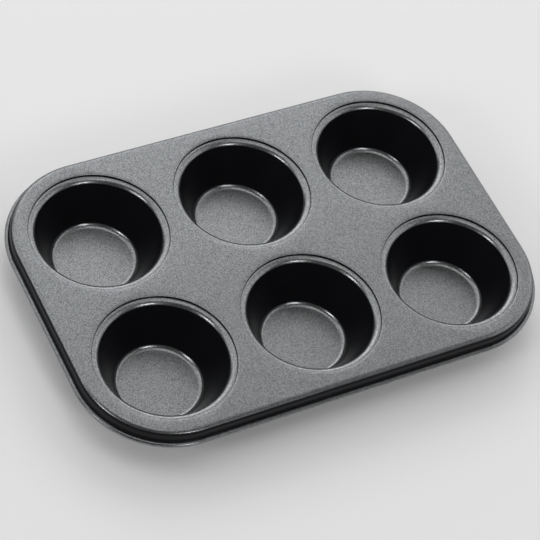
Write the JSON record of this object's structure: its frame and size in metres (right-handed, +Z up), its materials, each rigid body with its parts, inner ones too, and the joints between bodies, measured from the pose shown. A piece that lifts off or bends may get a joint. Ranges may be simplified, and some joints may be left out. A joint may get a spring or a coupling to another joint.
{
  "type": "baking pan",
  "caption": "Shallow rectangular baking pan: a flat deck with rounded corners, a rolled rim and rows of round tapered cups.",
  "frame": {"origin": "on the surface the pan stands on, under the middle of the deck", "axes": "+X along the long side, +Y across it towards the back row of cups, +Z up out of the cups"},
  "size_m": [0.264, 0.1802, 0.026],
  "materials": {
    "coated_deck": "dark grey non-stick coating with a fine metallic fleck, satin",
    "coated_cup": "dark grey non-stick coating with a fine metallic fleck, satin",
    "rim_steel": "plain drawn steel wire, hidden in the rolled rim"
  },
  "bodies": {
    "root": {"deck_frame": "coated_deck", "rim_wire": "rim_steel", "cup_back_left": "coated_cup", "cup_back_middle": "coated_cup", "cup_back_right": "coated_cup", "cup_front_left": "coated_cup", "cup_front_middle": "coated_cup", "cup_front_right": "coated_cup"}
  },
  "joints": []
}
